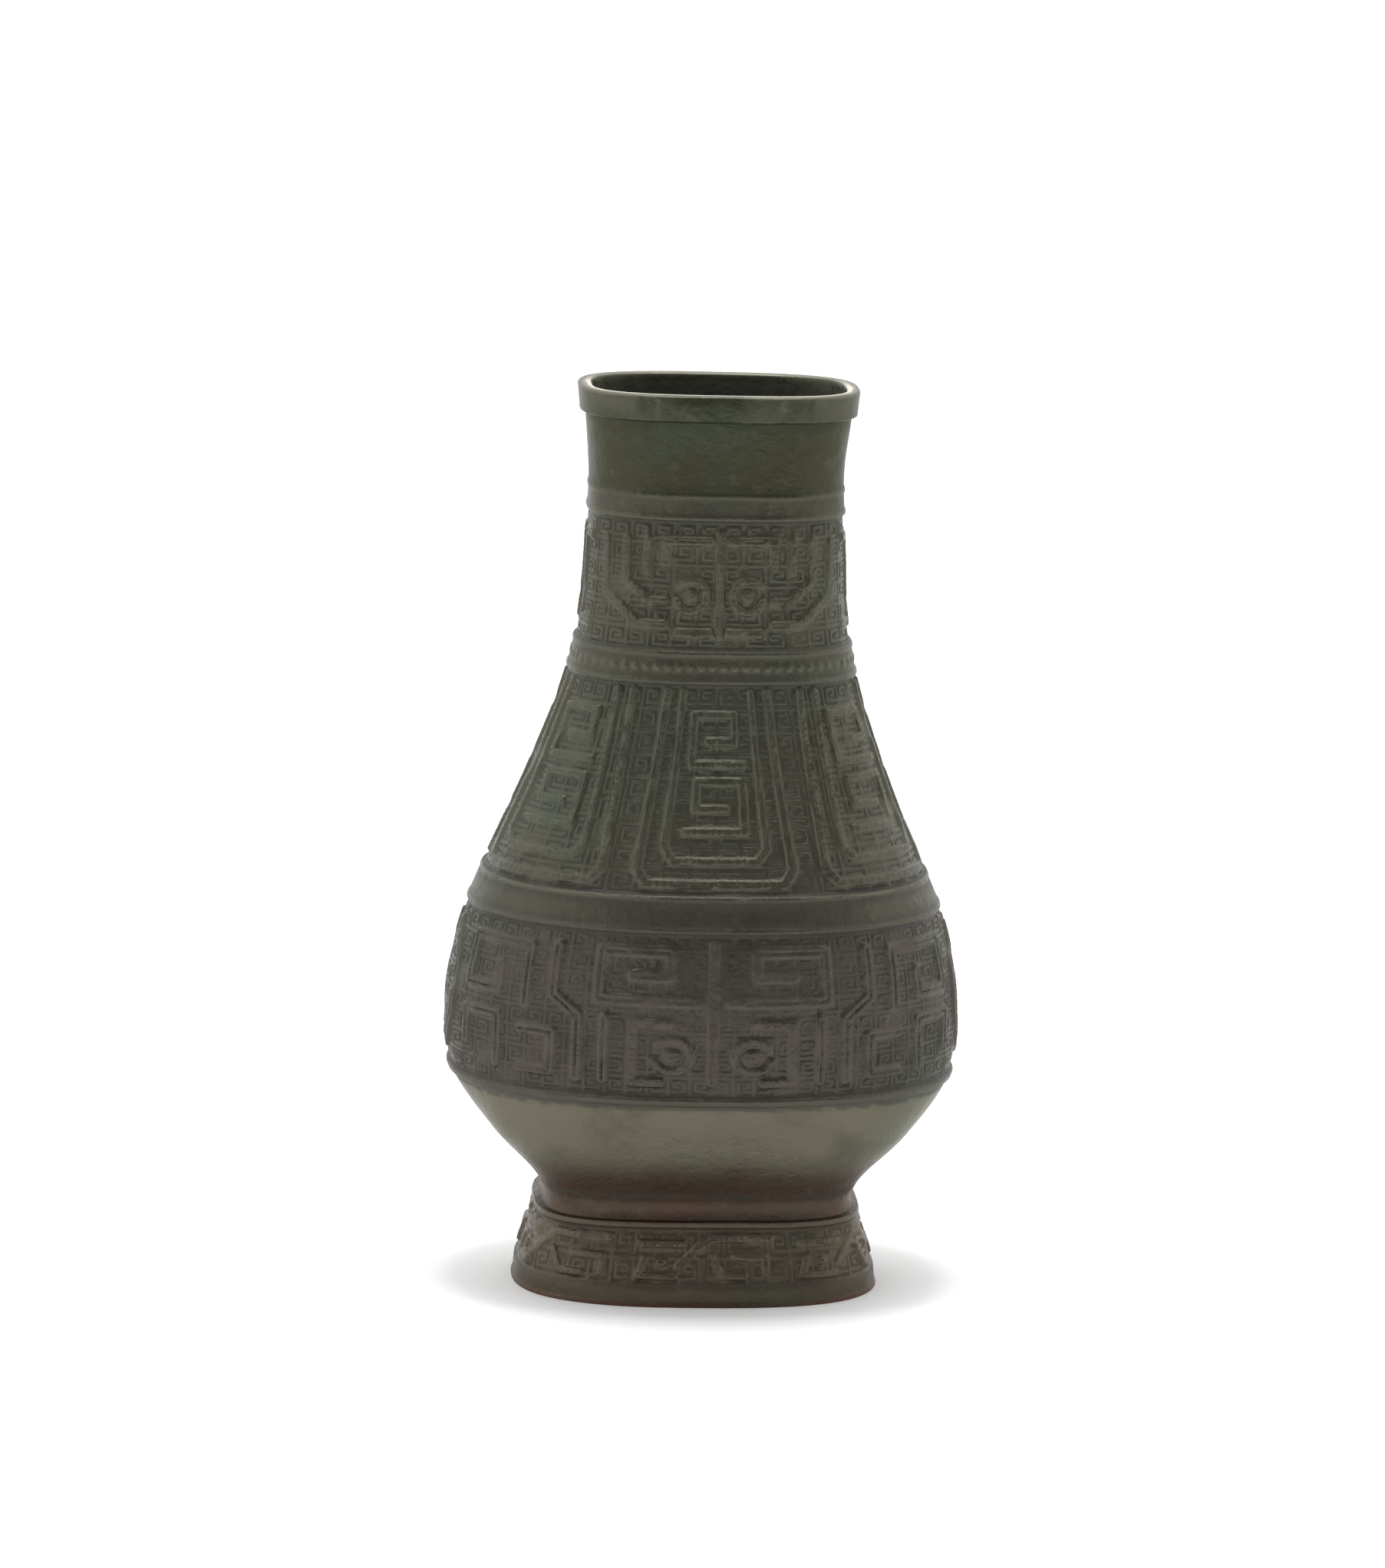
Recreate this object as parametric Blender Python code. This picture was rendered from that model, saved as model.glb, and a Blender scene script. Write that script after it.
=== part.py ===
"""Bronze vase in the archaic manner: one hollow casting with a rounded oblong section, on a flared foot.

Heights run up from the foot's underside, widths are measured from the vertical axis, and the front faces -Y.
"""

import math

import bmesh
import bpy
import numpy as np
from mathutils import Vector
from mathutils.geometry import delaunay_2d_cdt

# Heights of the zones, from the foot up
FOOT_LIP_HEIGHT = 0.0058
FOOT_BAND_HEIGHT = 0.0172
COVE_HEIGHT = 0.0072
LOWER_BELLY_HEIGHT = 0.0299
BELLY_BAND_HEIGHT = 0.0466
LOWER_GIRDLE_HEIGHT = 0.0105
SHOULDER_BAND_HEIGHT = 0.0545
MIDDLE_GIRDLE_HEIGHT = 0.0095
NECK_BAND_HEIGHT = 0.0345
UPPER_GIRDLE_HEIGHT = 0.0080
PLAIN_NECK_HEIGHT = 0.0193
LIP_HEIGHT = 0.0070

# Half widths across the broad side
FOOT_EDGE_HALF = 0.0509
FOOT_LIP_HALF = 0.0501
FOOT_BAND_TOP_HALF = 0.0441
COVE_HALF = 0.0425
CREASE_HALF = 0.0440
LOWER_BELLY_HALF = 0.0577
BELLY_LOW_HALF = 0.0686
BELLY_HALF = 0.0713
BELLY_TOP_HALF = 0.0652
SHOULDER_LOW_HALF = 0.0609
SHOULDER_MIDDLE_HALF = 0.0489
SHOULDER_TOP_HALF = 0.0394
NECK_LOW_HALF = 0.0375
NECK_TOP_HALF = 0.0350
NECK_HALF = 0.0346
NECK_FLARE_HALF = 0.0361
LIP_LOW_HALF = 0.0376
LIP_HALF = 0.0382
DEPTH_TO_WIDTH = 0.65

# Roundness of the section: 2 is an ellipse, and more is squarer
FOOT_ROUNDNESS = 2.6
CREASE_ROUNDNESS = 3.7
BELLY_ROUNDNESS = 2.3
NECK_ROUNDNESS = 2.6
LIP_ROUNDNESS = 2.9

# Walls
WALL = 0.0030
LIP_THICKNESS = 0.0038
FOOT_RING_WIDTH = 0.0042
FLOOR_THICKNESS = 0.0042
FLOOR_DROP = 0.0035
FLOOR_SHARE = 0.85

# Relief
GROUND_SINK = 0.0006
RELIEF = 0.0010
RIDGE_WIDTH = 0.0022
RIDGE_PROUD = 0.0004
BORDER_WIDTH = 0.0018
BORDER_PROUD = 0.0007
BEVEL = 0.0005
STEP_RISE = 0.0007

# Pattern
PANELS = 6
FOOT_DRAGONS = 6
PANEL_PITCH_SHARE = 0.82

# Faceting
COLUMNS = 34
ROW_STEP = 0.0140
GRID_CLEAR = 0.0032
LONGEST_EDGE = 0.0150
QUARTER_SAMPLES = 96
SNAP = 2e-6
TO_MM = 1000.0
WELD = 1e-6

# Levels that follow from the zones
FOOT_TOP = FOOT_LIP_HEIGHT + FOOT_BAND_HEIGHT
CREASE = FOOT_TOP + COVE_HEIGHT
BELLY_LOW = CREASE + LOWER_BELLY_HEIGHT
BELLY_TOP = BELLY_LOW + BELLY_BAND_HEIGHT
SHOULDER_LOW = BELLY_TOP + LOWER_GIRDLE_HEIGHT
SHOULDER_TOP = SHOULDER_LOW + SHOULDER_BAND_HEIGHT
NECK_LOW = SHOULDER_TOP + MIDDLE_GIRDLE_HEIGHT
NECK_TOP = NECK_LOW + NECK_BAND_HEIGHT
PLAIN_LOW = NECK_TOP + UPPER_GIRDLE_HEIGHT
LIP_LOW = PLAIN_LOW + PLAIN_NECK_HEIGHT
HEIGHT = LIP_LOW + LIP_HEIGHT


def between(low, high, share):
    return low + (high - low) * share


FOOT_CURVE = [
    (0.0, FOOT_EDGE_HALF),
    (between(0.0, FOOT_LIP_HEIGHT, 0.25), between(FOOT_EDGE_HALF, FOOT_LIP_HALF, 0.8)),
    (between(0.0, FOOT_LIP_HEIGHT, 0.6), FOOT_LIP_HALF),
    (FOOT_TOP, FOOT_BAND_TOP_HALF),
]
BODY_CURVE = [
    (FOOT_TOP, COVE_HALF + STEP_RISE),
    (between(FOOT_TOP, CREASE, 0.4), COVE_HALF),
    (CREASE, CREASE_HALF),
    (between(CREASE, BELLY_LOW, 0.5), LOWER_BELLY_HALF),
    (BELLY_LOW, BELLY_LOW_HALF),
    (between(BELLY_LOW, BELLY_TOP, 0.36), BELLY_HALF),
    (BELLY_TOP, BELLY_TOP_HALF),
    (SHOULDER_LOW, SHOULDER_LOW_HALF),
    (between(SHOULDER_LOW, SHOULDER_TOP, 0.5), SHOULDER_MIDDLE_HALF),
    (SHOULDER_TOP, SHOULDER_TOP_HALF),
    (NECK_LOW, NECK_LOW_HALF),
    (NECK_TOP, NECK_TOP_HALF),
    (PLAIN_LOW, NECK_HALF),
    (LIP_LOW, NECK_FLARE_HALF),
]
LIP_CURVE = [
    (LIP_LOW, LIP_LOW_HALF),
    (HEIGHT, LIP_HALF),
]
ROUNDNESS = [
    (0.0, FOOT_ROUNDNESS),
    (CREASE, CREASE_ROUNDNESS),
    (BELLY_LOW, BELLY_ROUNDNESS),
    (SHOULDER_LOW, BELLY_ROUNDNESS),
    (SHOULDER_TOP, NECK_ROUNDNESS),
    (HEIGHT, LIP_ROUNDNESS),
]


class Curve:
    """A smooth curve of half width over height through a few points."""

    def __init__(self, points):
        self.x = np.array([point[0] for point in points])
        self.y = np.array([point[1] for point in points])
        self.slope = np.gradient(self.y, self.x)

    def at(self, x):
        """Value and slope at one height."""
        i = int(np.clip(np.searchsorted(self.x, x) - 1, 0, len(self.x) - 2))
        run = self.x[i + 1] - self.x[i]
        t = (x - self.x[i]) / run
        rise = self.y[i + 1] - self.y[i]
        start, end = self.slope[i] * run, self.slope[i + 1] * run
        square, cube = 3 * rise - 2 * start - end, start + end - 2 * rise
        value = self.y[i] + start * t + square * t**2 + cube * t**3
        return value, (start + 2 * square * t + 3 * cube * t**2) / run


FOOT, BODY, LIP = Curve(FOOT_CURVE), Curve(BODY_CURVE), Curve(LIP_CURVE)
SECTION = Curve(ROUNDNESS)
quarter_tables = {}


def quarter_table(roundness):
    """Angles and running length shares along a quarter of the section, from the front to the side."""
    key = round(roundness, 3)
    if key not in quarter_tables:
        angle = np.linspace(0.0, math.pi / 2, QUARTER_SAMPLES)
        x = np.sin(angle) ** (2 / key)
        y = DEPTH_TO_WIDTH * np.cos(angle) ** (2 / key)
        length = np.concatenate([[0.0], np.cumsum(np.hypot(np.diff(x), np.diff(y)))])
        quarter_tables[key] = angle, length
    return quarter_tables[key]


def quarter_length(curve, height):
    """Length of a quarter of the section, from the front centre to the side centre."""
    return curve.at(height)[0] * quarter_table(SECTION.at(height)[0])[1][-1]


def place(curve, turn, height, out):
    """Point at a share of the way round (0 is the front, 0.25 the side) and a height, moved out along the normal."""
    half, slope = curve.at(height)
    roundness = SECTION.at(height)[0]
    angle_table, length_table = quarter_table(roundness)
    folded = abs((turn + 0.5) % 1.0 - 0.5)
    along = min(folded, 0.5 - folded) * 4 * length_table[-1]
    if length_table[-1] - along < SNAP:
        along = length_table[-1]
    if along < SNAP:
        along = 0.0
    angle = np.interp(along, length_table, angle_table)
    x, y = math.sin(angle) ** (2 / roundness), math.cos(angle) ** (2 / roundness)
    normal = np.array([x ** (roundness - 1), y ** (roundness - 1) / DEPTH_TO_WIDTH])
    normal /= np.linalg.norm(normal)
    rise = -(x * normal[0] + DEPTH_TO_WIDTH * y * normal[1]) * slope
    direction = np.array([normal[0], normal[1], rise]) / math.hypot(1.0, rise)
    point = np.array([half * x, half * DEPTH_TO_WIDTH * y, height]) + out * direction
    point[0] *= 1 if (turn + 0.5) % 1.0 > 0.5 else -1
    point[1] *= -1 if folded < 0.25 else 1
    return point


def ribbon(points, width):
    """Outline of a flat strip along a broken line, with mitred corners."""
    line = [Vector(point) for point in points]
    runs = [(b - a).normalized() for a, b in zip(line, line[1:])]
    left, right = [], []
    for i, point in enumerate(line):
        before, after = runs[max(i - 1, 0)], runs[min(i, len(runs) - 1)]
        bisector = (before + after).normalized()
        side = Vector((-bisector.y, bisector.x)) * (width / 2) / max(bisector.dot(after), 0.5)
        left.append(point + side)
        right.append(point - side)
    return left + right[::-1]


def grow(outline, amount):
    """The outline moved outwards by an amount, with mitred corners."""
    area = sum(a.x * b.y - b.x * a.y for a, b in zip(outline, outline[1:] + outline[:1]))
    turn = 1 if area > 0 else -1
    moved = []
    for i, point in enumerate(outline):
        before = (point - outline[i - 1]).normalized()
        after = (outline[(i + 1) % len(outline)] - point).normalized()
        bisector = (before + after).normalized()
        moved.append(point + Vector((bisector.y, -bisector.x)) * turn * amount / max(bisector.dot(after), 0.5))
    return moved


def oval(centre, across, up, sides=8):
    angles = [2 * math.pi * (i + 0.5) / sides for i in range(sides)]
    return [Vector((centre[0] + across * math.cos(a), centre[1] + up * math.sin(a))) for a in angles]


def divided(outline):
    """The outline with its long edges cut, so that it can follow the rounded wall."""
    points = []
    for a, b in zip(outline, outline[1:] + outline[:1]):
        parts = max(1, math.ceil((b - a).length / (LONGEST_EDGE * TO_MM)))
        points.extend(a.lerp(b, i / parts) for i in range(parts))
    return points


def distances(points, outline):
    """How far each point is from an outline, 0 inside it."""
    nearest = np.full(len(points), np.inf)
    winding = np.zeros(len(points))
    for a, b in zip(outline, outline[1:] + outline[:1]):
        start, run = np.array(a), np.array(b) - np.array(a)
        offset = points - start
        share = np.clip(offset @ run / (run @ run), 0.0, 1.0)
        nearest = np.minimum(nearest, np.linalg.norm(offset - share[:, None] * run, axis=1))
        left = run[0] * offset[:, 1] - run[1] * offset[:, 0]
        up = (start[1] <= points[:, 1]) & (start[1] + run[1] > points[:, 1]) & (left > 0)
        down = (start[1] > points[:, 1]) & (start[1] + run[1] <= points[:, 1]) & (left < 0)
        winding += up.astype(float) - down
    nearest[winding != 0] = 0.0
    return nearest


def mirrored(points):
    return [(-x, y) for x, y in points]


def both_sides(points):
    return [points, mirrored(points)]


def lid(x, y, across, up):
    """A ring round an eye, open on its outer side."""
    angles = [math.radians(angle) for angle in range(40, 341, 60)]
    return [(x + across * math.cos(angle), y + up * math.sin(angle)) for angle in angles]


def neck_figures(wide, tall):
    """Two plumed dragons face a central ridge. Places are shares of the quarter's length and the band's height."""
    strokes = [([(0.0, 0.10), (0.0, 0.90)], 0.055)]
    half = [
        (lid(0.155, 0.42, 0.087, 0.125), 0.042),
        ([(0.05, 0.13), (0.22, 0.13)], 0.060),
        ([(0.06, 0.85), (0.30, 0.85), (0.30, 0.68)], 0.060),
        ([(0.30, 0.19), (0.44, 0.19), (0.66, 0.43), (0.66, 0.84)], 0.060),
        ([(0.30, 0.37), (0.39, 0.37), (0.53, 0.53), (0.53, 0.86)], 0.060),
        ([(0.41, 0.86), (0.41, 0.60)], 0.055),
        ([(0.78, 0.16), (0.92, 0.16), (0.92, 0.84), (0.82, 0.84)], 0.065),
    ]
    for points, width in half:
        strokes.extend((side, width) for side in both_sides(points))
    outlines = [ribbon([(x * wide, y * tall) for x, y in points], width * tall) for points, width in strokes]
    for side in (-1, 1):
        outlines.append(oval((0.155 * side * wide, 0.42 * tall), 0.040 * wide, 0.062 * tall))
    return outlines


def shoulder_figures(wide, tall):
    """Pendant panels: a deep frame, open to the girdle above, round a column of hooks."""
    pitch = 4 * wide / PANELS
    half = pitch / 2 * PANEL_PITCH_SHARE
    narrow = 0.90
    outlines = []
    for i in range(-(PANELS // 4), PANELS // 4 + 1):
        middle = i * pitch
        frame = [(-half * narrow, 0.97), (-half, 0.12), (-half * 0.86, 0.05)]
        frame += [(-x, y) for x, y in frame[::-1]]
        outlines.append(ribbon([(middle + x, y * tall) for x, y in frame], 0.034 * tall))
        inner = 0.68 * half
        lining = [(-inner * narrow, 0.97), (-inner, 0.22), (-inner * 0.8, 0.16)]
        lining += [(-x, y) for x, y in lining[::-1]]
        outlines.append(ribbon([(middle + x, y * tall) for x, y in lining], 0.028 * tall))
        for low, side in ((0.28, 1), (0.60, -1)):
            hook = [(-0.42, 0.02), (0.40, 0.02), (0.40, 0.26), (-0.30, 0.26), (-0.30, 0.13), (0.14, 0.13)]
            outlines.append(ribbon([(middle + side * x * half, (low + y) * tall) for x, y in hook], 0.030 * tall))
    return outlines


def belly_figures(wide, tall):
    """A beast's mask, with a body that runs back from it on each side."""
    strokes = [([(0.0, 0.10), (0.0, 0.94)], 0.055)]
    half = [
        (lid(0.118, 0.26, 0.057, 0.100), 0.036),
        ([(0.130, 0.46), (0.235, 0.46), (0.235, 0.09), (0.150, 0.09)], 0.045),
        ([(0.320, 0.10), (0.320, 0.48)], 0.055),
        ([(0.050, 0.60), (0.340, 0.60), (0.340, 0.90), (0.130, 0.90), (0.130, 0.75), (0.240, 0.75)], 0.060),
        ([(0.400, 0.10), (0.400, 0.48), (0.480, 0.60), (0.480, 0.90)], 0.060),
        ([(0.580, 0.12), (0.480, 0.12), (0.480, 0.36), (0.580, 0.36)], 0.055),
        ([(0.570, 0.52), (0.570, 0.88), (0.790, 0.88), (0.790, 0.58), (0.670, 0.58), (0.670, 0.73)], 0.060),
        ([(0.660, 0.12), (0.660, 0.42), (0.790, 0.42), (0.790, 0.22)], 0.055),
        ([(0.950, 0.90), (0.880, 0.70), (0.880, 0.36), (0.940, 0.12)], 0.055),
    ]
    for points, width in half:
        strokes.extend((side, width) for side in both_sides(points))
    outlines = [ribbon([(x * wide, y * tall) for x, y in points], width * tall) for points, width in strokes]
    for side in (-1, 1):
        outlines.append(oval((0.118 * side * wide, 0.26 * tall), 0.030 * wide, 0.052 * tall))
    return outlines


def foot_figures(wide, tall):
    """Dragons that all run one way round the foot."""
    count = FOOT_DRAGONS // 2
    pitch = 2 * wide / count
    outlines = []
    for i in range(count):
        start = -wide + i * pitch
        strokes = [
            ([(0.36, 0.34), (0.45, 0.60), (0.56, 0.84), (0.93, 0.84)], 0.105),
            ([(0.15, 0.46), (0.12, 0.16), (0.33, 0.14)], 0.095),
            ([(0.12, 0.74), (0.38, 0.74)], 0.100),
            ([(0.56, 0.52), (0.62, 0.16), (0.76, 0.16)], 0.100),
            ([(0.70, 0.50), (0.89, 0.50), (0.89, 0.20)], 0.095),
        ]
        for points, width in strokes:
            outlines.append(ribbon([(start + x * pitch, y * tall) for x, y in points], width * tall))
        outlines.append(oval((start + 0.25 * pitch, 0.40 * tall), 0.038 * pitch, 0.090 * tall, 6))
    return outlines


class Shell:
    """Collects the vase's faces: closed rings in strips, and bands of relief between them."""

    def __init__(self):
        self.mesh = bmesh.new()
        self.last = None

    def ring(self, curve, height, out=0.0, shrink=1.0, level=None):
        """A ring of points round the section. Faces join it to the ring before."""
        ring = []
        for i in range(COLUMNS):
            point = place(curve, i / COLUMNS - 0.25, height, out)
            point[:2] *= shrink
            if level is not None:
                point[2] = level
            ring.append(self.mesh.verts.new(point))
        if self.last:
            for i in range(COLUMNS):
                j = (i + 1) % COLUMNS
                self.mesh.faces.new((self.last[i], self.last[j], ring[j]))
                self.mesh.faces.new((self.last[i], ring[j], ring[i]))
        self.last = ring

    def cap(self, level, up):
        """Closes the last ring with a fan to a point on the axis."""
        middle = self.mesh.verts.new((0.0, 0.0, level))
        for i in range(COLUMNS):
            pair = (self.last[i], self.last[(i + 1) % COLUMNS])
            self.mesh.faces.new((*(pair if up else pair[::-1]), middle))
        self.last = None

    def band(self, curve, low, high, figures):
        """A band of relief from the last ring up to a height: raised outlines on a sunk ground, both halves alike."""
        reference = between(low, high, 0.5)
        wide = quarter_length(curve, reference) * TO_MM
        tall = (high - low) * TO_MM
        outlines = figures(wide, tall)
        rows = max(1, round((high - low) / ROW_STEP))
        columns = [2 * wide * (i / (COLUMNS // 2) - 0.5) for i in range(COLUMNS // 2 + 1)]
        border = [Vector((x, 0.0)) for x in columns]
        border += [Vector((wide, tall * i / rows)) for i in range(1, rows)]
        border += [Vector((x, tall)) for x in reversed(columns)]
        border += [Vector((-wide, tall * i / rows)) for i in range(rows - 1, 0, -1)]
        loops = [border]
        for outline in outlines:
            loops.append(divided(outline))
            loops.append(divided(grow(outline, BEVEL * TO_MM)))
        points, edges = [], []
        for loop in loops:
            first = len(points)
            points.extend(loop)
            edges.extend((first + i, first + (i + 1) % len(loop)) for i in range(len(loop)))
        grid = np.array([(x, tall * i / rows) for i in range(1, rows) for x in columns[1:-1]]).reshape(-1, 2)
        drawn = np.array([tuple(point) for point in points])
        clear = [np.linalg.norm(drawn - spot, axis=1).min() > GRID_CLEAR * TO_MM for spot in grid]
        points.extend(Vector(spot) for spot, free in zip(grid, clear) if free)
        flat, _, faces, *_ = delaunay_2d_cdt(points, edges, [], 0, 1e-5)
        spots = np.array([tuple(point) for point in flat])
        rise = np.zeros(len(spots))
        for outline in outlines:
            away = distances(spots, outline)
            rise = np.maximum(rise, np.clip(1.0 - away / (BEVEL * TO_MM), 0.0, 1.0))
        for half in (0.0, 0.5):
            placed = [
                self.mesh.verts.new(
                    place(curve, half + x / (4 * wide), low + y / TO_MM, RELIEF * up - GROUND_SINK)
                )
                for (x, y), up in zip(spots, rise)
            ]
            for face in faces:
                self.mesh.faces.new([placed[i] for i in face])
        self.last = None
        self.ring(curve, high, -GROUND_SINK)

    def girdle(self, curve, low, high):
        """Two ridges with a shallow channel between them, from ground to ground."""
        self.ring(curve, low + RIDGE_WIDTH / 2, RIDGE_PROUD)
        self.ring(curve, low + RIDGE_WIDTH)
        self.ring(curve, high - RIDGE_WIDTH)
        self.ring(curve, high - RIDGE_WIDTH / 2, RIDGE_PROUD)
        self.ring(curve, high, -GROUND_SINK)


def build_underside(shell):
    """The ring that the vase stands on, and the recess within it."""
    ceiling = CREASE - FLOOR_DROP
    shell.ring(BODY, CREASE, -WALL, FLOOR_SHARE, ceiling)
    shell.cap(ceiling, False)
    shell.ring(BODY, CREASE, -WALL, FLOOR_SHARE, ceiling)
    for share in (0.85, 0.45):
        shell.ring(FOOT, between(0.0, FOOT_TOP, share), -WALL)
    shell.ring(FOOT, 0.0, -FOOT_RING_WIDTH, level=0.0)


def build_outside(shell):
    """The outer wall, from the foot's edge up to the lip."""
    for share in (0.0, 0.25, 0.7):
        shell.ring(FOOT, between(0.0, FOOT_LIP_HEIGHT, share))
    shell.ring(FOOT, FOOT_LIP_HEIGHT)
    foot_low = FOOT_LIP_HEIGHT + BEVEL
    foot_high = FOOT_TOP - BORDER_WIDTH
    shell.ring(FOOT, foot_low, -GROUND_SINK)
    shell.band(FOOT, foot_low, foot_high, foot_figures)
    shell.ring(FOOT, foot_high + BEVEL, BORDER_PROUD)
    shell.ring(FOOT, FOOT_TOP, BORDER_PROUD)
    for share in (0.05, 0.45, 1.0):
        shell.ring(BODY, between(FOOT_TOP, CREASE, share))
    for share in (0.18, 0.40, 0.66, 0.97):
        shell.ring(BODY, between(CREASE, BELLY_LOW, share))
    shell.ring(BODY, BELLY_LOW, BORDER_PROUD)
    shell.ring(BODY, BELLY_LOW + BORDER_WIDTH, BORDER_PROUD)
    belly_low = BELLY_LOW + BORDER_WIDTH + BEVEL
    shell.ring(BODY, belly_low, -GROUND_SINK)
    shell.band(BODY, belly_low, BELLY_TOP, belly_figures)
    shell.girdle(BODY, BELLY_TOP, SHOULDER_LOW)
    shell.band(BODY, SHOULDER_LOW, SHOULDER_TOP, shoulder_figures)
    shell.girdle(BODY, SHOULDER_TOP, NECK_LOW)
    shell.band(BODY, NECK_LOW, NECK_TOP, neck_figures)
    shell.ring(BODY, NECK_TOP + RIDGE_WIDTH / 2, RIDGE_PROUD)
    shell.ring(BODY, NECK_TOP + RIDGE_WIDTH)
    shell.ring(BODY, PLAIN_LOW - RIDGE_WIDTH)
    shell.ring(BODY, PLAIN_LOW - RIDGE_WIDTH / 2, RIDGE_PROUD)
    for share in (0.0, 0.35, 0.70, 0.97):
        shell.ring(BODY, between(PLAIN_LOW, LIP_LOW, share))
    for share in (0.02, 0.5, 0.86):
        shell.ring(LIP, between(LIP_LOW, HEIGHT, share))


def build_inside(shell):
    """The lip's top, and the inner wall down to the floor."""
    rounding = LIP_THICKNESS / 4
    shell.ring(LIP, HEIGHT, -rounding, level=HEIGHT)
    shell.ring(LIP, HEIGHT, rounding - LIP_THICKNESS, level=HEIGHT)
    shell.ring(LIP, HEIGHT, -LIP_THICKNESS, level=HEIGHT - rounding)
    for height in (LIP_LOW, PLAIN_LOW, NECK_LOW, SHOULDER_TOP):
        shell.ring(BODY, height, -WALL)
    for share in (0.55, 0.2):
        shell.ring(BODY, between(SHOULDER_LOW, SHOULDER_TOP, share), -WALL)
    for share in (1.0, 0.7, 0.36, 0.0):
        shell.ring(BODY, between(BELLY_LOW, BELLY_TOP, share), -WALL)
    for share in (0.6, 0.3):
        shell.ring(BODY, between(CREASE, BELLY_LOW, share), -WALL)
    floor = CREASE - FLOOR_DROP + FLOOR_THICKNESS
    shell.ring(BODY, CREASE, -WALL, FLOOR_SHARE, floor)
    shell.cap(floor, True)


def build_vase():
    shell = Shell()
    build_underside(shell)
    build_outside(shell)
    build_inside(shell)
    return shell.mesh


def bronze():
    material = bpy.data.materials.new("bronze")
    material.use_nodes = True
    shader = material.node_tree.nodes["Principled BSDF"]
    shader.inputs["Base Color"].default_value = (0.085, 0.078, 0.052, 1.0)
    shader.inputs["Metallic"].default_value = 0.75
    shader.inputs["Roughness"].default_value = 0.45
    return material


def main():
    for thing in list(bpy.data.objects):
        bpy.data.objects.remove(thing, do_unlink=True)
    shape = build_vase()
    bmesh.ops.remove_doubles(shape, verts=shape.verts, dist=WELD)
    mesh = bpy.data.meshes.new("vase")
    shape.to_mesh(mesh)
    shape.free()
    mesh.materials.append(bronze())
    mesh.shade_smooth()
    mesh.set_sharp_from_angle(angle=math.radians(32))
    vase = bpy.data.objects.new("vase", mesh)
    bpy.context.scene.collection.objects.link(vase)


main()
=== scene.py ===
"""Looks of the bronze vase: the finely cast surface, its patina, the studio and the camera.

Places are in metres in the frame of the solid, and the front faces -Y. The relief is worked out on the
front half of the wall, in millimetres, and a half turn repeats it on the back.
"""

import math

import bmesh
import bpy
import numpy as np
from mathutils import Matrix, Vector


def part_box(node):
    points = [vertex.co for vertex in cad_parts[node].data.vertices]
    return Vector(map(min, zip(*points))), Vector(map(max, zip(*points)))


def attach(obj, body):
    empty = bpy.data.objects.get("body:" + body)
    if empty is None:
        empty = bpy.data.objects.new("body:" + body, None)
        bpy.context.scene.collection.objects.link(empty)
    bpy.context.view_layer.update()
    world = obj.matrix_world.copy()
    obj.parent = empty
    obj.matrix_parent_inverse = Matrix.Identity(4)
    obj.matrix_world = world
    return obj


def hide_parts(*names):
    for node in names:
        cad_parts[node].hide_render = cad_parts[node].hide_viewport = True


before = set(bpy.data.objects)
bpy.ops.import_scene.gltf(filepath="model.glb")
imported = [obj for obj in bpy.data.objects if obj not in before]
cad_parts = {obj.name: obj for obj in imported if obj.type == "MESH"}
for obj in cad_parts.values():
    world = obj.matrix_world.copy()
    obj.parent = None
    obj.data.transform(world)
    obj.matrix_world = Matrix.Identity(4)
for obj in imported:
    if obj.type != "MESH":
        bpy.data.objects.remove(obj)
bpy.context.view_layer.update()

# Heights of the zones, from the foot up, as in the solid
FOOT_LIP_HEIGHT = 0.0058
FOOT_BAND_HEIGHT = 0.0172
COVE_HEIGHT = 0.0072
LOWER_BELLY_HEIGHT = 0.0299
BELLY_BAND_HEIGHT = 0.0466
LOWER_GIRDLE_HEIGHT = 0.0105
SHOULDER_BAND_HEIGHT = 0.0545
MIDDLE_GIRDLE_HEIGHT = 0.0095
NECK_BAND_HEIGHT = 0.0345
UPPER_GIRDLE_HEIGHT = 0.0080
PLAIN_NECK_HEIGHT = 0.0193
LIP_HEIGHT = 0.0070

# Half widths across the broad side, as in the solid
FOOT_EDGE_HALF = 0.0509
FOOT_LIP_HALF = 0.0501
FOOT_BAND_TOP_HALF = 0.0441
COVE_HALF = 0.0425
CREASE_HALF = 0.0440
LOWER_BELLY_HALF = 0.0577
BELLY_LOW_HALF = 0.0686
BELLY_HALF = 0.0713
BELLY_TOP_HALF = 0.0652
SHOULDER_LOW_HALF = 0.0609
SHOULDER_MIDDLE_HALF = 0.0489
SHOULDER_TOP_HALF = 0.0394
NECK_LOW_HALF = 0.0375
NECK_TOP_HALF = 0.0350
NECK_HALF = 0.0346
NECK_FLARE_HALF = 0.0361
LIP_LOW_HALF = 0.0376
LIP_HALF = 0.0382
DEPTH_TO_WIDTH = 0.65

# Roundness of the section: 2 is an ellipse, and more is squarer
FOOT_ROUNDNESS = 2.6
CREASE_ROUNDNESS = 3.7
BELLY_ROUNDNESS = 2.3
NECK_ROUNDNESS = 2.6
LIP_ROUNDNESS = 2.9

# Walls
WALL = 0.0030
LIP_THICKNESS = 0.0038
FOOT_RING_WIDTH = 0.0042
FLOOR_THICKNESS = 0.0042
FLOOR_DROP = 0.0035
FLOOR_SHARE = 0.85
CORE_SHARE = 0.03
RECESS_SHARES = (0.85, 0.45)

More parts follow.
